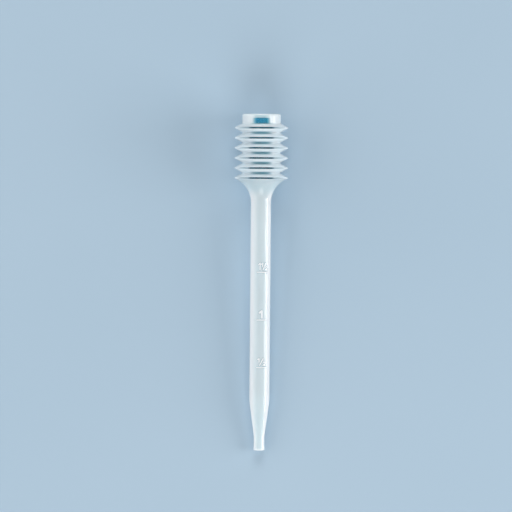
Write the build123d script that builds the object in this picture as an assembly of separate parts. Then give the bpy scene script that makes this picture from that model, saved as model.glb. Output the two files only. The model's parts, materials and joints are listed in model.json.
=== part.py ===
from build123d import *

import os
from math import asin, atan2, cos, degrees, hypot, pi, radians, sin, tan

# A dropping pipette with a bellows bulb, blow-moulded in one piece from soft polyethylene.
# It is a thin-walled body of revolution: an open nozzle, a taper, a straight graduated stem, a flared
# shoulder, a bulb of folded bellows and a closed flat cap. It is drawn standing on its nozzle, with its
# axis along Z and its marks to the front, and is then laid on its back, as it comes to rest on a table.
# Sizes are in millimetres, volumes in cubic millimetres and angles in degrees. Heights run from the mouth.

LENGTH = 120.0

# Bellows: rounded crests with rounded roots between them, joined by straight flanks
CREST_COUNT = 6
CREST_PITCH = 3.57
CREST_BELOW_TOP = 4.95
CREST_D = 19.0
ROOT_D = 13.6
CREST_ROUND = 0.25
ROOT_ROUND = 0.3

# Cap
CAP_D = 13.7
CAP_ROUND = 0.6

# Shoulder: one arc from the stem, which ends in a short straight slope below the last crest
SHOULDER_SLOPE = 22.5
SHOULDER_FLAT = 0.1

# Stem, taper and nozzle
STEM_D = 7.2
TAPER_TOP = 17.6
TAPER_BLEND = 30.0
NOZZLE_D = 3.8
NOZZLE_TOP = 4.9
NOZZLE_BLEND = 8.0
LIP_D = 4.05
LIP_HEIGHT = 1.5
LIP_ROUND = 0.3

# Walls. The plastic is stretched thinner where the mould is wider, and stays thick at the nozzle. Inside a
# crest the two flanks meet in a sharp fold, so the wall is CREST_WALL thick there along the radius.
STEM_WALL = 0.54
ROOT_WALL = 0.45
CREST_WALL = 0.5
CAP_SIDE_WALL = 0.45
CAP_TOP_WALL = 0.6
CAP_ROUND_INSIDE = 0.4
NOZZLE_BORE_D = 1.8
MOUTH_ROUND = 0.15
THICK_ABOVE_TAPER = 2.6

# Raised graduation lines, one for each half millilitre from the mouth up
MARK_COUNT = 3
MARK_VOLUME = 500.0
MARK_ARC = 64.0
MARK_WIDTH = 0.4
MARK_PROUD = 0.12

# How far the marks are turned from straight up, to the right, as the pipette lies
LYING_TURN = 11.0

# Places and radii that follow from the sizes above
FIRST_CREST = LENGTH - CREST_BELOW_TOP
LAST_CREST = FIRST_CREST - (CREST_COUNT - 1) * CREST_PITCH
STEM_R = STEM_D / 2
BORE_R = STEM_R - STEM_WALL
NOZZLE_BORE_R = NOZZLE_BORE_D / 2
BORE_TAPER_TOP = TAPER_TOP + THICK_ABOVE_TAPER


def flank_slope(crest_r, crest_round, root_r, root_round):
    """Slope of a flank from the level, as the line that touches the rounding of a crest and of a root."""
    run = (crest_r - crest_round) - (root_r + root_round)
    rise = CREST_PITCH / 2
    return atan2(rise, run) - asin((crest_round + root_round) / hypot(run, rise))


def sharp_r(round_r, rounding, slope_above, slope_below):
    """Radius of the sharp corner between two slopes whose rounding just reaches round_r."""
    half_angle = (slope_above + slope_below) / 2
    lean = (slope_above - slope_below) / 2
    return round_r + rounding * (cos(lean) / sin(half_angle) - 1)


def shoulder_corner(stem_r, crest_r, crest_round, flank):
    """Corner of the shoulder on the stem, with the largest rounding that ends below the last crest."""
    slope = radians(SHOULDER_SLOPE)
    run = crest_r - stem_r
    crest_share = crest_round / tan((flank + slope) / 2)
    reach = run / cos(slope) - crest_share - SHOULDER_FLAT
    rounding = reach / tan((pi / 2 - slope) / 2)
    return (stem_r, LAST_CREST - run * tan(slope)), rounding


def bulb_corners(stem_r, crest_r, crest_round, root_r, root_round, cap_r, cap_top, cap_round):
    """Corners of one surface of the bulb, each with its rounding, from the stem up to the axis."""
    flank = flank_slope(crest_r, crest_round, root_r, root_round)
    peak_r = sharp_r(crest_r, crest_round, flank, flank)
    last_peak_r = sharp_r(crest_r, crest_round, flank, radians(SHOULDER_SLOPE))
    valley_r = sharp_r(root_r, -root_round, flank, flank)

    corners = [shoulder_corner(stem_r, last_peak_r, crest_round, flank)]
    corners.append(((last_peak_r, LAST_CREST), crest_round))
    for fold in range(1, CREST_COUNT):
        crest_height = LAST_CREST + fold * CREST_PITCH
        corners.append(((valley_r, crest_height - CREST_PITCH / 2), root_round))
        corners.append(((peak_r, crest_height), crest_round))
    corners.append(((cap_r, FIRST_CREST + (peak_r - cap_r) * tan(flank)), root_round))
    corners.append(((cap_r, cap_top), cap_round))
    corners.append(((0, cap_top), 0))
    return corners


def outer_corners():
    """Corners of the outer surface, from the rim of the nozzle up to the top of the cap."""
    tube = [
        ((LIP_D / 2, 0), LIP_ROUND),
        ((NOZZLE_D / 2, LIP_HEIGHT), NOZZLE_BLEND),
        ((NOZZLE_D / 2, NOZZLE_TOP), NOZZLE_BLEND),
        ((STEM_R, TAPER_TOP), TAPER_BLEND),
    ]
    bulb = bulb_corners(
        STEM_R, CREST_D / 2, CREST_ROUND, ROOT_D / 2, ROOT_ROUND, CAP_D / 2, LENGTH, CAP_ROUND
    )
    return tube + bulb


def inner_corners():
    """Corners of the inner surface, from the mouth up to the underside of the cap."""
    tube = [
        ((NOZZLE_BORE_R, 0), MOUTH_ROUND),
        ((NOZZLE_BORE_R, NOZZLE_TOP), NOZZLE_BLEND),
        ((BORE_R, BORE_TAPER_TOP), TAPER_BLEND),
    ]
    bulb = bulb_corners(
        BORE_R,
        CREST_D / 2 - CREST_WALL,
        0,
        ROOT_D / 2 - ROOT_WALL,
        ROOT_ROUND + ROOT_WALL,
        CAP_D / 2 - CAP_SIDE_WALL,
        LENGTH - CAP_TOP_WALL,
        CAP_ROUND_INSIDE,
    )
    return tube + bulb


def blown_body():
    """The hollow body: the section of its wall, turned about the axis."""
    corners = outer_corners() + inner_corners()[::-1]
    with BuildPart() as body:
        with BuildSketch(Plane.XZ):
            with BuildLine():
                FilletPolyline(*[at for at, _ in corners], radius=[r for _, r in corners], close=True)
            make_face()
        revolve(axis=Axis.Z)
    return body.part


def mark_heights():
    """Heights up to which the pipette holds one, two and more of the marked volume."""
    bore_area = pi * BORE_R**2
    nozzle = pi * NOZZLE_BORE_R**2 * NOZZLE_TOP
    cone = pi / 3 * (BORE_R**2 + BORE_R * NOZZLE_BORE_R + NOZZLE_BORE_R**2) * (BORE_TAPER_TOP - NOZZLE_TOP)
    volumes = [MARK_VOLUME * count for count in range(1, MARK_COUNT + 1)]
    return [BORE_TAPER_TOP + (volume - nozzle - cone) / bore_area for volume in volumes]


def mark_line(height):
    """One graduation line: a low rounded rib along an arc on the front of the stem."""
    section = Plane.XZ * Pos(STEM_R, height) * Ellipse(MARK_PROUD, MARK_WIDTH / 2)
    rib = revolve(section, Axis.Z, MARK_ARC)
    return Rot(Z=-MARK_ARC / 2 - 90) * rib


def resting_slope(height, centre_r, rounding):
    """Slope of the axis when the pipette rests on its last crest and on one other rounded ring."""
    rise = (CREST_D / 2 - CREST_ROUND) - centre_r
    run = LAST_CREST - height
    return atan2(rise, run) - asin((rounding - CREST_ROUND) / hypot(rise, run))


def lay_down(pipette):
    """Lays the pipette on its last crest and on its taper or lip, with its middle over the origin."""
    taper = atan2(STEM_R - NOZZLE_D / 2, TAPER_TOP - NOZZLE_TOP)
    blend_start = TAPER_TOP + TAPER_BLEND * tan(taper / 2)
    on_taper = resting_slope(blend_start, STEM_R - TAPER_BLEND, TAPER_BLEND)
    on_lip = resting_slope(LIP_ROUND, LIP_D / 2 - LIP_ROUND, LIP_ROUND)
    lying = Rot(X=degrees(min(on_taper, on_lip)) - 90) * Rot(Z=LYING_TURN) * pipette
    box = lying.bounding_box()
    return Pos(0, -box.center().Y, -box.min.Z) * lying


pipette = blown_body()
for height in mark_heights():
    pipette += mark_line(height)

os.makedirs("parts", exist_ok=True)
export_step(lay_down(pipette), "parts/pipette.step")
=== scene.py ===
import json
from math import asin, atan2, ceil, cos, hypot, inf, pi, radians, sin, tan

import bmesh
import bpy
from mathutils import Matrix, Vector


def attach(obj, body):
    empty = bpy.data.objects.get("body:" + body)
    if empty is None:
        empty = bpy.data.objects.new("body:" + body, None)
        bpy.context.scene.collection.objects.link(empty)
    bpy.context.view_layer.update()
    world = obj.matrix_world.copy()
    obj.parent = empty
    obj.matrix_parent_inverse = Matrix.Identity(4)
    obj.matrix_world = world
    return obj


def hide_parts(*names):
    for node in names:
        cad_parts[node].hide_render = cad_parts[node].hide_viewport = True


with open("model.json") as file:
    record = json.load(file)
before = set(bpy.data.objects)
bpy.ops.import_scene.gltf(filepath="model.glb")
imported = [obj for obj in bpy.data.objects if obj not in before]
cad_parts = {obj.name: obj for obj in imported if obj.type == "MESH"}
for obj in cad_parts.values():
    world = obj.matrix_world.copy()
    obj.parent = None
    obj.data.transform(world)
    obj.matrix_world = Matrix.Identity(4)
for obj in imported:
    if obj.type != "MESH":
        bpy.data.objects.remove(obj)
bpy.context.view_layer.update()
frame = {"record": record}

# A blow-moulded dropping pipette with a bellows bulb, lying on a pale table under soft studio light.
# The body is drawn standing on its nozzle, in millimetres, with its marks to the front, and is then laid
# on the axis that the frame's mounts give. Scene sizes are in metres.

MM = 0.001

# Body, in millimetres
LENGTH = 120.0
CREST_COUNT = 6
CREST_PITCH = 3.57
CREST_BELOW_TOP = 4.95
CREST_D = 19.0
ROOT_D = 13.6
CREST_ROUND = 0.25
ROOT_ROUND = 0.3
CAP_D = 13.7
CAP_ROUND = 0.6
SHOULDER_SLOPE = radians(22.5)
SHOULDER_FLAT = 0.1
STEM_D = 7.2
TAPER_TOP = 17.6
TAPER_BLEND = 30.0
NOZZLE_D = 3.8
NOZZLE_TOP = 4.9
NOZZLE_BLEND = 8.0
LIP_D = 4.05
LIP_HEIGHT = 1.5
LIP_ROUND = 0.3
STEM_WALL = 0.54
ROOT_WALL = 0.45
CREST_WALL = 0.5
CAP_SIDE_WALL = 0.45
CAP_TOP_WALL = 0.6
CAP_ROUND_INSIDE = 0.4
NOZZLE_BORE_D = 1.8
MOUTH_ROUND = 0.15
THICK_ABOVE_TAPER = 2.6

FIRST_CREST = LENGTH - CREST_BELOW_TOP
LAST_CREST = FIRST_CREST - (CREST_COUNT - 1) * CREST_PITCH
STEM_R = STEM_D / 2
BORE_R = STEM_R - STEM_WALL

# How far the marks are turned from straight up, to the right, as the pipette lies
LYING_TURN = radians(11.0)

# Share of the light that passes the wall unscattered, where it is seen square on. The same share also
# sets how far the colour is turned to the painted shade below: the deep blue, and the dark of the crests
STEM_CLEARNESS = 0.15
SHOULDER_CLEARNESS = 0.14
FLANK_CLEARNESS = 0.02
CREST_CLEARNESS = 0.95
CREST_END_CLEARNESS = 0.4
ROOT_CLEARNESS = 0.46
CAP_CLEARNESS = 0.9
TOP_CLEARNESS = 0.2
LIP_CLEARNESS = 0.05
# The sides of the raised strokes are set nearly clear so that they take the painted deep blue: painted
# shade that outlines each stroke
STROKE_OUTLINE_CLEARNESS_AND_PAINTED_SHADE = 0.85

# How far aslant each is still seen through, from 0 square on to 1 edge on
STEM_ASLANT = 0.5
CREST_ASLANT = 0.24
CREST_END_ASLANT = 0.8
ROOT_ASLANT = 0.22
CAP_ASLANT = 0.14

# Heights over which a zone of the wall fades in, from none of it to all of it. The top is the upper part
# of the cap's side, and the rim is the edge above it.
LIP_FADE = (0.9, 0.4)
MARKED_FADE = (LAST_CREST - 15.0, LAST_CREST - 20.0)
SHOULDER_FADE = (LAST_CREST - 7.0, LAST_CREST - 3.0)
BULB_FADE = (LAST_CREST - 0.6, LAST_CREST - 0.3)
CAP_FADE = (FIRST_CREST + 1.3, FIRST_CREST + 1.9)
TOP_FADE = (LENGTH - 1.7, LENGTH - 1.2)
RIM_FADE = (LENGTH - 0.75, LENGTH - 0.4)

# Distances from the axis over which the other zones do
# The first is the thin band round each raised stroke that gets its painted shade outline
STROKE_SIDE_FADE = (STEM_R + 0.004, STEM_R + 0.02)
STROKE_FADE = (STEM_R + 0.05, STEM_R + 0.11)
ROOT_FADE = (ROOT_D / 2 + 0.9, ROOT_D / 2 + 0.1)
CREST_FADE = (CREST_D / 2 - 0.42, CREST_D / 2 - 0.16)

# Colours of the scattering wall and of the table, each from the one end of its pattern to the other
STEM_WHITE = ((0.89, 0.94, 0.975), (0.94, 0.965, 0.99))
BULB_WHITE = ((0.80, 0.905, 0.965), (0.86, 0.935, 0.985))
INNER_WHITE = ((0.74, 0.88, 0.95), (0.80, 0.91, 0.97))
TABLE_BLUE = ((0.41, 0.54, 0.65), (0.43, 0.56, 0.67))
BACKDROP_BLUE = (0.42, 0.55, 0.66)

# Painted shade: the colours that the wall turns to where it is clear. The deep blue stands in for dark
# surroundings seen through the wall and for shade in the hollows of the folds. The near black stands in
# for dark seen through the thin crests. Then how much faster the colour deepens than the wall grows
# clear. As the clearness follows the view, so does this painted shade
PAINTED_SEE_THROUGH_BLUE = (0.08, 0.59, 0.78)
PAINTED_CREST_DARK = (0.0, 0.17, 0.26)
DEEPENING = 1.35

# Streaks are drawn out along the pipette, which lies along Y
DRAWN_OUT = (1, 0.12, 1)

# Camera: its distance and the width that it takes in, in metres, and then the width of its sensor, the
# heights on the pipette that it stands over and aims at, and its place across, in millimetres
CAMERA_DISTANCE = 1.2
FRAME_WIDTH = 0.1825
SENSOR_WIDTH = 36
CAMERA_OVER = 105.0
AIM_HEIGHT = 69.39
AIM_ACROSS = -1.6
CAMERA_ROLL = radians(0.45)

# Half the side of the square table, in metres
TABLE_REACH = 0.72

# Mesh fineness
TURN_STEPS = 144
ARC_STEP = radians(10)
ARC_LENGTH_STEP = 0.8

# Raised graduations: a line and a number for each half millilitre
MARK_VOLUME = 500.0
MARK_ARC = radians(64.0)
MARK_PROUD = 0.14
LINE_FLAT = 0.17
ONE_FLAT = 0.31
FRACTION_FLAT = 0.16
STROKE_SIDE = 0.17
NUMBER_LIFT = 0.85
NUMBER_HEIGHT = 2.4
PATCH_MARGIN = 0.6
PATCH_STEP = 0.06
PATCH_TURN_CUTS = 2

# Points nearer than the first are one, and an edge that rises less than the second is level
SAME_PLACE = 1e-5
LEVEL_WITHIN = 1e-3


# ---------------------------------------------------------------- outline of the body

def flank_slope(crest_r, crest_round, root_r, root_round):
    """Slope of a flank from the level, as the line that touches the rounding of a crest and of a root."""
    run = (crest_r - crest_round) - (root_r + root_round)
    rise = CREST_PITCH / 2
    return atan2(rise, run) - asin((crest_round + root_round) / hypot(run, rise))


def sharp_r(round_r, rounding, slope_above, slope_below):
    """Radius of the sharp corner between two slopes whose rounding just reaches round_r."""
    half_angle = (slope_above + slope_below) / 2
    lean = (slope_above - slope_below) / 2
    return round_r + rounding * (cos(lean) / sin(half_angle) - 1)


def shoulder_corner(stem_r, crest_r, crest_round, flank):
    """Corner of the shoulder on the stem, with the largest rounding that ends below the last crest."""
    run = crest_r - stem_r
    crest_share = crest_round / tan((flank + SHOULDER_SLOPE) / 2)
    reach = run / cos(SHOULDER_SLOPE) - crest_share - SHOULDER_FLAT
    rounding = reach / tan((pi / 2 - SHOULDER_SLOPE) / 2)
    return (stem_r, LAST_CREST - run * tan(SHOULDER_SLOPE)), rounding


def bulb_corners(stem_r, crest_r, crest_round, root_r, root_round, cap_r, cap_top, cap_round):
    """Corners of one surface of the bulb, each with its rounding, from the stem up to the axis."""
    flank = flank_slope(crest_r, crest_round, root_r, root_round)
    peak_r = sharp_r(crest_r, crest_round, flank, flank)
    last_peak_r = sharp_r(crest_r, crest_round, flank, SHOULDER_SLOPE)
    valley_r = sharp_r(root_r, -root_round, flank, flank)

    corners = [shoulder_corner(stem_r, last_peak_r, crest_round, flank)]
    corners.append(((last_peak_r, LAST_CREST), crest_round))
    for fold in range(1, CREST_COUNT):
        crest_height = LAST_CREST + fold * CREST_PITCH
        corners.append(((valley_r, crest_height - CREST_PITCH / 2), root_round))
        corners.append(((peak_r, crest_height), crest_round))
    corners.append(((cap_r, FIRST_CREST + (peak_r - cap_r) * tan(flank)), root_round))
    corners.append(((cap_r, cap_top), cap_round))
    corners.append(((0, cap_top), 0))
    return corners


def outer_corners():
    """Corners of the outer surface, from the rim of the nozzle up to the top of the cap."""
    tube = [
        ((LIP_D / 2, 0), LIP_ROUND),
        ((NOZZLE_D / 2, LIP_HEIGHT), NOZZLE_BLEND),
        ((NOZZLE_D / 2, NOZZLE_TOP), NOZZLE_BLEND),
        ((STEM_R, TAPER_TOP), TAPER_BLEND),
    ]
    bulb = bulb_corners(
        STEM_R, CREST_D / 2, CREST_ROUND, ROOT_D / 2, ROOT_ROUND, CAP_D / 2, LENGTH, CAP_ROUND
    )
    return tube + bulb


def inner_corners():
    """Corners of the inner surface, from the mouth up to the underside of the cap."""
    tube = [
        ((NOZZLE_BORE_D / 2, 0), MOUTH_ROUND),
        ((NOZZLE_BORE_D / 2, NOZZLE_TOP), NOZZLE_BLEND),
        ((BORE_R, TAPER_TOP + THICK_ABOVE_TAPER), TAPER_BLEND),
    ]
    bulb = bulb_corners(
        BORE_R,
        CREST_D / 2 - CREST_WALL,
        0,
        ROOT_D / 2 - ROOT_WALL,
        ROOT_ROUND + ROOT_WALL,
        CAP_D / 2 - CAP_SIDE_WALL,
        LENGTH - CAP_TOP_WALL,
        CAP_ROUND_INSIDE,
    )
    return tube + bulb


# ---------------------------------------------------------------- mesh of the body

def rounded_corner(bm, before, corner, after, rounding):
    """Draws one corner of the section as an arc. Returns its first and its last vertex."""
    arriving, leaving = (corner - before).normalized(), (after - corner).normalized()
    turn = arriving.angle(leaving)
    first = bm.verts.new(corner - arriving * rounding * tan(turn / 2))
    axis = arriving.cross(leaving).normalized()
    arc = bmesh.ops.spin(
        bm, geom=[first], cent=first.co + axis.cross(arriving) * rounding, axis=axis, dvec=(0, 0, 0),
        angle=turn, steps=max(ceil(turn / ARC_STEP), ceil(rounding * turn / ARC_LENGTH_STEP)),
        use_merge=False, use_duplicate=False,
    )
    return first, arc["geom_last"][0]


def draw_section(bm):
    """The section of the wall, from the cap's top round the mouth to the cap's underside."""
    corners = outer_corners()[::-1] + inner_corners()
    points = [Vector((r, 0, height)) for (r, height), _ in corners]
    end = None
    for i, (_, rounding) in enumerate(corners):
        if rounding:
            first, last = rounded_corner(bm, points[i - 1], points[i], points[i + 1], rounding)
        else:
            first = last = bm.verts.new(points[i])
        if end:
            bm.edges.new((end, first))
        end = last


def turn_section(bm):
    """Turns the section about the axis into the closed wall."""
    bmesh.ops.spin(
        bm, geom=bm.verts[:] + bm.edges[:], cent=(0, 0, 0), axis=(0, 0, 1), dvec=(0, 0, 0),
        angle=2 * pi, steps=TURN_STEPS, use_merge=True, use_duplicate=False,
    )
    bmesh.ops.remove_doubles(bm, verts=bm.verts[:], dist=SAME_PLACE)
    bmesh.ops.recalc_face_normals(bm, faces=bm.faces[:])


# ---------------------------------------------------------------- raised graduations

def mark_heights():
    """Heights up to which the pipette holds half a millilitre, one and one and a half."""
    bore_r, nozzle_r = BORE_R, NOZZLE_BORE_D / 2
    taper_top = TAPER_TOP + THICK_ABOVE_TAPER
    nozzle = pi * nozzle_r**2 * NOZZLE_TOP
    cone = pi / 3 * (bore_r**2 + bore_r * nozzle_r + nozzle_r**2) * (taper_top - NOZZLE_TOP)
    return [taper_top + (MARK_VOLUME * n - nozzle - cone) / (pi * bore_r**2) for n in (1, 2, 3)]


def figure_one(x, y, width, height, flat):
    """A one: a flag and a stem."""
    return [(flat, [(x, y + 0.72 * height), (x + width, y + height), (x + width, y)])]


def figure_two(x, y, width, height):
    """A two: a bowl, a diagonal and a foot."""
    r = width / 2
    bowl = [
        (x + r - r * cos(radians(a)), y + height - r + r * sin(radians(a)))
        for a in range(10, 191, 30)
    ]
    return [(FRACTION_FLAT, bowl + [(x, y), (x + width, y)])]


def figure_half(x, width):
    """A half: a small one, a slash and a small two."""
    part = width / 3
    one = figure_one(x, 0.45 * NUMBER_HEIGHT, 0.55 * part, 0.55 * NUMBER_HEIGHT, FRACTION_FLAT)
    slash = [(FRACTION_FLAT, [(x + 0.75 * part, 0), (x + 2.0 * part, NUMBER_HEIGHT)])]
    two = figure_two(x + 1.95 * part, 0, 0.95 * part, 0.5 * NUMBER_HEIGHT)
    return one + slash + two


def numbers():
    """The strokes of the three numbers, from the lowest mark up, each as half the width of its flat
    and its points. x runs round the stem from its front."""
    return [
        figure_half(-1.44, 2.9),
        figure_one(-0.88, 0, 0.8, NUMBER_HEIGHT, ONE_FLAT),
        figure_one(-1.44, 0, 0.65, NUMBER_HEIGHT, FRACTION_FLAT) + figure_half(-0.35, 2.35),
    ]


def line_stroke():
    """The line under a number, as an arc round the stem."""
    reach = STEM_R * MARK_ARC / 2 - (LINE_FLAT + STROKE_SIDE) / 2
    return [(LINE_FLAT, [(-reach, -NUMBER_LIFT), (reach, -NUMBER_LIFT)])]


def distance_to_stroke(point, flat, points):
    """Shortest distance from a point to the flat of a stroke, which runs straight between its points."""
    distances = []
    for a, b in zip(points, points[1:]):
        a, b = Vector(a), Vector(b)
        along = max(0.0, min(1.0, (point - a).dot(b - a) / (b - a).length_squared))
        distances.append((point - a - along * (b - a)).length - flat)
    return min(distances)


def relief(distance):
    """Height of a moulded stroke at a distance from its flat, with soft sides."""
    t = max(0.0, min(1.0, 1 - distance / STROKE_SIDE))
    return MARK_PROUD * t * t * (3 - 2 * t)


def turned(co):
    """How far round the stem a point lies from the front, as a length on its surface."""
    return STEM_R * atan2(co.x, -co.y)


def stem_faces(bm, bottom, top, left=-inf, right=inf):
    """The outer faces of the stem between two heights, all round it or between two places round it."""
    found = []
    for face in bm.faces:
        middle = face.calc_center_median()
        on_surface = abs(hypot(middle.x, middle.y) - STEM_R) < 0.1 and abs(face.normal.z) < 0.1
        if on_surface and bottom < middle.z < top and left < turned(middle) < right:
            found.append(face)
    return found


def cut_ring(bm, height):
    """Cuts the stem's outer faces level at a height."""
    faces = stem_faces(bm, TAPER_TOP, LAST_CREST)
    verts = dict.fromkeys(v for f in faces for v in f.verts)
    edges = dict.fromkeys(e for f in faces for e in f.edges)
    bmesh.ops.bisect_plane(
        bm, geom=[*verts, *edges, *faces], dist=SAME_PLACE, plane_co=(0, 0, height), plane_no=(0, 0, 1)
    )


def subdivide(bm, faces, upright, cuts):
    """Cuts the upright or else the level edges of some faces into equal parts."""
    edges = dict.fromkeys(e for f in faces for e in f.edges)
    chosen = [e for e in edges if (abs(e.verts[0].co.z - e.verts[1].co.z) > LEVEL_WITHIN) == upright]
    bmesh.ops.subdivide_edges(bm, edges=chosen, cuts=cuts, use_grid_fill=True)


def raise_mark(bm, base, strokes):
    """Refines the stem around one mark and raises its strokes. base is the foot of its number."""
    xs = [x for _, points in strokes for x, _ in points]
    ys = [y for _, points in strokes for _, y in points]
    bottom, top = base + min(ys) - PATCH_MARGIN, base + max(ys) + PATCH_MARGIN
    patch = (bottom, top, min(xs) - PATCH_MARGIN, max(xs) + PATCH_MARGIN)
    cut_ring(bm, bottom)
    cut_ring(bm, top)
    subdivide(bm, stem_faces(bm, *patch), True, ceil((top - bottom) / PATCH_STEP))
    subdivide(bm, stem_faces(bm, *patch), False, PATCH_TURN_CUTS)

    for vert in {v for f in stem_faces(bm, *patch) for v in f.verts}:
        point = Vector((turned(vert.co), vert.co.z - base))
        height = max(relief(distance_to_stroke(point, *stroke)) for stroke in strokes)
        scale = (STEM_R + height) / hypot(vert.co.x, vert.co.y)
        vert.co.x *= scale
        vert.co.y *= scale


def split_borders(bm):
    """Splits the many-cornered faces round the refined patches into even triangles."""
    cornered = [f for f in bm.faces if len(f.verts) > 4]
    bmesh.ops.triangulate(bm, faces=cornered, quad_method="BEAUTY", ngon_method="BEAUTY")


# ---------------------------------------------------------------- placing

def lying_matrix():
    """From the standing drawing, in millimetres, to the lying pipette, in metres."""
    cap = next(m for m in frame["record"]["mounts"] if m["name"] == "cap_top")
    along = Vector(cap["axis"]).normalized()
    across = Vector((1, 0, 0))
    back = along.cross(across)
    turn = Matrix((across, back, along)).transposed().to_4x4() @ Matrix.Rotation(LYING_TURN, 4, "Z")
    mouth = Vector(cap["pos_m"]) - along * LENGTH * MM
    return Matrix.Translation(mouth) @ turn @ Matrix.Scale(MM, 4)


def paint_inside(bm):
    """Gives the faces that look into the hollow the second material."""
    for face in bm.faces:
        middle = face.calc_center_median()
        outward = face.normal.x * middle.x + face.normal.y * middle.y
        ceiling = face.normal.z < -0.9 and middle.z > FIRST_CREST
        face.material_index = int(ceiling or outward < -0.1)


def make_body(materials):
    """The pipette: one thin-walled body with its graduations raised on the stem."""
    bm = bmesh.new()
    draw_section(bm)
    turn_section(bm)
    for height, strokes in zip(mark_heights(), numbers()):
        raise_mark(bm, height + NUMBER_LIFT, strokes + line_stroke())
    split_borders(bm)
    paint_inside(bm)
    bmesh.ops.transform(bm, matrix=lying_matrix(), verts=bm.verts[:])
    mesh = bpy.data.meshes.new("pipette_body")
    bm.to_mesh(mesh)
    bm.free()
    mesh.shade_smooth()
    for material in materials:
        mesh.materials.append(material)
    body = bpy.data.objects.new("pipette_body", mesh)
    bpy.context.collection.objects.link(body)
    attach(body, "root")
    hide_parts("pipette")


# ---------------------------------------------------------------- materials

def new_material(name):
    """An empty node material. Returns it with its node tree and its Principled shader."""
    material = bpy.data.materials.new(name)
    material.use_nodes = True
    return material, material.node_tree, material.node_tree.nodes["Principled BSDF"]


def put(tree, term, socket):
    """Gives a socket its term: a link where the term is a socket, and else a constant."""
    if isinstance(term, float):
        socket.default_value = term
    elif isinstance(term, tuple):
        socket.default_value = (*term, 1)
    else:
        tree.links.new(term, socket)


def noise(tree, coordinates, scale, detail):
    """A noise pattern on the given coordinates."""
    node = tree.nodes.new("ShaderNodeTexNoise")
    node.inputs["Scale"].default_value = scale
    node.inputs["Detail"].default_value = detail
    put(tree, coordinates, node.inputs["Vector"])
    return node.outputs["Fac"]


def ramp(tree, value, low, high):
    """Turns a pattern into a colour between two ends."""
    node = tree.nodes.new("ShaderNodeValToRGB")
    node.color_ramp.elements[0].position = 0.3
    node.color_ramp.elements[0].color = (*low, 1)
    node.color_ramp.elements[1].position = 0.7
    node.color_ramp.elements[1].color = (*high, 1)
    put(tree, value, node.inputs["Fac"])
    return node.outputs["Color"]


def vector_math(tree, operation, first, second=(0, 0, 0), output="Vector"):
    """One step of vector arithmetic on a socket and a constant."""
    node = tree.nodes.new("ShaderNodeVectorMath")
    node.operation = operation
    put(tree, first, node.inputs[0])
    node.inputs[1].default_value = second
    return node.outputs[output]


def step(tree, value, start, end):
    """A smooth step from 0 to 1, as a value goes from start to end."""
    node = tree.nodes.new("ShaderNodeMapRange")
    node.interpolation_type = "SMOOTHSTEP"
    node.inputs["From Min"].default_value = start
    node.inputs["From Max"].default_value = end
    put(tree, value, node.inputs["Value"])
    return node.outputs["Result"]


def math(tree, operation, first, second):
    """One step of arithmetic on two numbers."""
    node = tree.nodes.new("ShaderNodeMath")
    node.operation = operation
    put(tree, first, node.inputs[0])
    put(tree, second, node.inputs[1])
    return node.outputs["Value"]


def blend(tree, share, first, second, kind="FLOAT"):
    """Goes from one term to another, two numbers or two colours, as a share goes from 0 to 1."""
    node = tree.nodes.new("ShaderNodeMix")
    node.data_type = kind
    factor, *ends = (s for s in node.inputs if s.enabled)
    put(tree, share, factor)
    for term, socket in zip((first, second), ends):
        put(tree, term, socket)
    return next(s for s in node.outputs if s.enabled)


def place_on_body(tree, coordinates):
    """A point's height from the mouth and distance from the axis, in millimetres, and its way outward."""
    laid = lying_matrix()
    along = laid.col[2].to_3d().normalized()
    from_mouth = vector_math(tree, "SUBTRACT", coordinates, laid.translation)
    in_mm = vector_math(tree, "DIVIDE", from_mouth, (MM, MM, MM))
    height = vector_math(tree, "DOT_PRODUCT", in_mm, along, output="Value")
    round_axis = vector_math(tree, "CROSS_PRODUCT", in_mm, along)
    radius = vector_math(tree, "LENGTH", round_axis, output="Value")
    inward = vector_math(tree, "CROSS_PRODUCT", round_axis, along)
    outward = vector_math(tree, "NORMALIZE", vector_math(tree, "MULTIPLY", inward, (-1, -1, -1)))
    return height, radius, outward


def zones(tree, height, radius):
    """Shares from 0 to 1 of the parts of the body, and of the sides and flats of the marks' strokes. The
    sides are where painted shade outlines the strokes.
    """
    marked = step(tree, height, *MARKED_FADE)
    return {
        "lip": step(tree, height, *LIP_FADE),
        "shoulder": step(tree, height, *SHOULDER_FADE),
        "bulb": step(tree, height, *BULB_FADE),
        "crest": step(tree, radius, *CREST_FADE),
        "root": step(tree, radius, *ROOT_FADE),
        "cap": step(tree, height, *CAP_FADE),
        "top": step(tree, height, *TOP_FADE),
        "rim": step(tree, height, *RIM_FADE),
        "painted stroke outline": math(tree, "MULTIPLY", step(tree, radius, *STROKE_SIDE_FADE), marked),
        "stroke": math(tree, "MULTIPLY", step(tree, radius, *STROKE_FADE), marked),
    }


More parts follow.
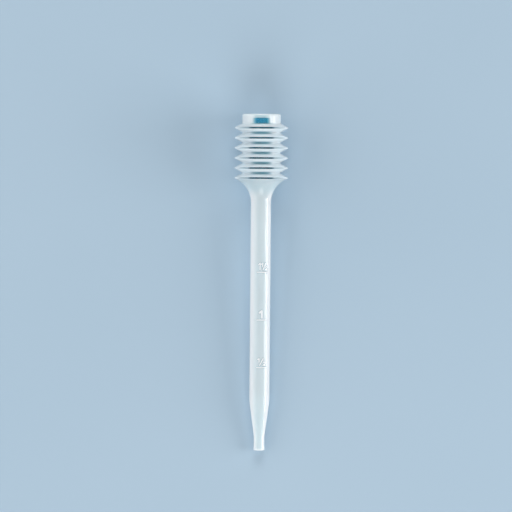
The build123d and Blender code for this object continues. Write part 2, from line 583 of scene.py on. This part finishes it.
def clearness(tree, zone, outward):
    """How clear the wall is: clearest where folds and cap are stretched thin, and less so seen aslant.
    The same share drives the painted shade in the wall's colour.
    """
    weight = tree.nodes.new("ShaderNodeLayerWeight")
    weight.inputs["Blend"].default_value = 0.5
    put(tree, outward, weight.inputs["Normal"])
    aslant = weight.outputs["Facing"]

    def seen(clear, limit):
        return math(tree, "MULTIPLY", step(tree, aslant, limit, 0.0), clear)

    stem = blend(tree, zone["lip"], seen(STEM_CLEARNESS, STEM_ASLANT), LIP_CLEARNESS)
    # Painted shade: the sides of the raised strokes are set nearly clear, so that they turn deep blue as
    # dark outlines
    stem = blend(tree, zone["painted stroke outline"], stem, STROKE_OUTLINE_CLEARNESS_AND_PAINTED_SHADE)
    stem = blend(tree, zone["shoulder"], stem, SHOULDER_CLEARNESS)

    crest_front = seen(CREST_CLEARNESS, CREST_ASLANT)
    crest_ends = seen(CREST_END_CLEARNESS, CREST_END_ASLANT)
    bulb = blend(tree, zone["root"], FLANK_CLEARNESS, seen(ROOT_CLEARNESS, ROOT_ASLANT))
    bulb = blend(tree, zone["crest"], bulb, math(tree, "MAXIMUM", crest_front, crest_ends))
    bulb = blend(tree, zone["cap"], bulb, seen(CAP_CLEARNESS, CAP_ASLANT))
    bulb = blend(tree, zone["top"], bulb, seen(TOP_CLEARNESS, CAP_ASLANT))
    bulb = blend(tree, zone["rim"], bulb, FLANK_CLEARNESS)

    return math(tree, "SUBTRACT", blend(tree, zone["bulb"], stem, bulb), zone["stroke"])


def wall_colour(tree, streaks, zone, clear):
    """Milky white, turned to a painted deep blue where light passes through the wall and to painted dark
    on
    the crests: painted shade that follows the view along with the clearness.
    """
    stem, bulb = ramp(tree, streaks, *STEM_WHITE), ramp(tree, streaks, *BULB_WHITE)
    milky = blend(tree, zone["shoulder"], stem, bulb, kind="RGBA")
    # Painted shade: the deep blue of the clear wall and the dark of the crests
    painted_depth = blend(tree, zone["crest"], PAINTED_SEE_THROUGH_BLUE, PAINTED_CREST_DARK, kind="RGBA")
    return blend(tree, math(tree, "MULTIPLY", clear, DEEPENING), milky, painted_depth, kind="RGBA")


def outer_polyethylene():
    """Milky low-density polyethylene: thin, softly see-through, with a waxy gloss, and with painted shade
    in its colour where it is clear.
    """
    material, tree, shader = new_material("milky_polyethylene")
    coordinates = tree.nodes.new("ShaderNodeTexCoord").outputs["Object"]
    drawn = vector_math(tree, "MULTIPLY", coordinates, DRAWN_OUT)
    height, radius, outward = place_on_body(tree, coordinates)
    zone = zones(tree, height, radius)
    clear = clearness(tree, zone, outward)
    streaks = noise(tree, drawn, scale=420, detail=3)
    put(tree, clear, shader.inputs["Transmission Weight"])
    # The base colour carries the painted shade of the clear parts
    put(tree, wall_colour(tree, streaks, zone, clear), shader.inputs["Base Color"])

    gloss = tree.nodes.new("ShaderNodeMapRange")
    gloss.inputs["To Min"].default_value = 0.12
    gloss.inputs["To Max"].default_value = 0.20
    put(tree, noise(tree, coordinates, scale=320, detail=2), gloss.inputs["Value"])
    put(tree, gloss.outputs["Result"], shader.inputs["Roughness"])

    bump = tree.nodes.new("ShaderNodeBump")
    bump.inputs["Strength"].default_value = 0.3
    bump.inputs["Distance"].default_value = 0.00002
    put(tree, noise(tree, drawn, scale=500, detail=2), bump.inputs["Height"])
    put(tree, bump.outputs["Normal"], shader.inputs["Normal"])

    shader.inputs["IOR"].default_value = 1.51
    shader.inputs["Sheen Weight"].default_value = 0.25
    shader.inputs["Sheen Roughness"].default_value = 0.4
    shader.inputs["Subsurface Weight"].default_value = 0.7
    shader.inputs["Subsurface Radius"].default_value = (1.0, 1.0, 1.0)
    shader.inputs["Subsurface Scale"].default_value = 0.0012
    return material


def inner_polyethylene():
    """The inner face of the same wall, which is smooth and lets light through."""
    material, tree, shader = new_material("inner_polyethylene")
    coordinates = tree.nodes.new("ShaderNodeTexCoord").outputs["Object"]
    drawn = vector_math(tree, "MULTIPLY", coordinates, DRAWN_OUT)
    streaks = noise(tree, drawn, scale=420, detail=3)
    put(tree, ramp(tree, streaks, *INNER_WHITE), shader.inputs["Base Color"])
    shader.inputs["Roughness"].default_value = 0.25
    shader.inputs["IOR"].default_value = 1.51
    shader.inputs["Transmission Weight"].default_value = 1.0
    return material


def pale_board():
    """Plain pale matt board for the table."""
    material, tree, shader = new_material("pale_board")
    coordinates = tree.nodes.new("ShaderNodeTexCoord").outputs["Object"]
    tone = noise(tree, coordinates, scale=6, detail=2)
    put(tree, ramp(tree, tone, *TABLE_BLUE), shader.inputs["Base Color"])
    shader.inputs["Roughness"].default_value = 0.8
    return material


# ---------------------------------------------------------------- camera, light and table

def make_camera():
    """A camera high above the bulb that looks at the middle of the pipette, with the bulb at the top."""
    lens = bpy.data.cameras.new("camera")
    lens.sensor_width = SENSOR_WIDTH
    lens.lens = SENSOR_WIDTH * CAMERA_DISTANCE / FRAME_WIDTH
    lens.clip_start = 0.01
    lens.clip_end = 5
    camera = bpy.data.objects.new("camera", lens)
    bpy.context.collection.objects.link(camera)
    laid = lying_matrix()
    along = laid.col[2].to_3d().normalized()
    across = Vector((1, 0, 0))
    place = laid.translation + along * CAMERA_OVER * MM + across.cross(along) * CAMERA_DISTANCE
    aim = laid.translation + along * AIM_HEIGHT * MM
    towards = (place - aim).normalized()
    facing = Matrix((across, towards.cross(across), towards)).transposed().to_4x4()
    facing = facing @ Matrix.Rotation(CAMERA_ROLL, 4, "Z")
    camera.matrix_world = Matrix.Translation(place + across * AIM_ACROSS * MM) @ facing
    bpy.context.scene.camera = camera


def make_lamp(name, place, aim, width, length, power):
    """A soft rectangular lamp at a place, turned to an aim."""
    light = bpy.data.lights.new(name, "AREA")
    light.shape = "RECTANGLE"
    light.size = width
    light.size_y = length
    light.energy = power
    lamp = bpy.data.objects.new(name, light)
    bpy.context.collection.objects.link(lamp)
    away = (Vector(place) - Vector(aim)).normalized()
    level = Vector((0, 1, 0)) if abs(away.y) < 0.7 else Vector((0, 0, 1))
    across = level.cross(away).normalized()
    facing = Matrix((across, away.cross(across), away)).transposed().to_4x4()
    lamp.matrix_world = Matrix.Translation(place) @ facing


def light_studio():
    """A small lamp standing on the right, a long one leaning over the left and one over each end."""
    make_lamp("right_lamp", (0.75, -0.06, 0.3), (0, -0.06, 0.3), width=0.57, length=0.45, power=4.5)
    make_lamp("left_lamp", (-0.74, 0, 0.39), (0, 0, 0), width=0.75, length=1.35, power=5.0)
    make_lamp("head_lamp", (0, 0.93, 0.68), (0, 0.05, 0), width=0.75, length=0.6, power=4.9)
    make_lamp("foot_lamp", (0, -0.93, 0.68), (0, 0.05, 0), width=0.75, length=0.6, power=6.2)


def make_world():
    """A faint even light all round, behind which the eye sees a backdrop as pale as the table."""
    world = bpy.data.worlds.new("studio")
    world.use_nodes = True
    tree = world.node_tree
    light = tree.nodes["Background"]
    light.inputs["Color"].default_value = (0.85, 0.92, 1.0, 1)
    light.inputs["Strength"].default_value = 0.15
    backdrop = tree.nodes.new("ShaderNodeBackground")
    put(tree, BACKDROP_BLUE, backdrop.inputs["Color"])
    path = tree.nodes.new("ShaderNodeLightPath")
    seen = math(tree, "MAXIMUM", path.outputs["Is Glossy Ray"], path.outputs["Is Transmission Ray"])
    seen = math(tree, "MAXIMUM", seen, path.outputs["Is Camera Ray"])
    both = tree.nodes.new("ShaderNodeMixShader")
    put(tree, seen, both.inputs[0])
    put(tree, light.outputs["Background"], both.inputs[1])
    put(tree, backdrop.outputs["Background"], both.inputs[2])
    put(tree, both.outputs["Shader"], tree.nodes["World Output"].inputs["Surface"])
    bpy.context.scene.world = world


def make_table():
    """The pale table that the pipette lies on."""
    bm = bmesh.new()
    bmesh.ops.create_grid(bm, x_segments=1, y_segments=1, size=TABLE_REACH)
    mesh = bpy.data.meshes.new("table")
    bm.to_mesh(mesh)
    bm.free()
    mesh.materials.append(pale_board())
    table = bpy.data.objects.new("table", mesh)
    bpy.context.collection.objects.link(table)


make_camera()
make_body([outer_polyethylene(), inner_polyethylene()])
make_table()
light_studio()
make_world()
bpy.context.scene.view_settings.view_transform = "Standard"
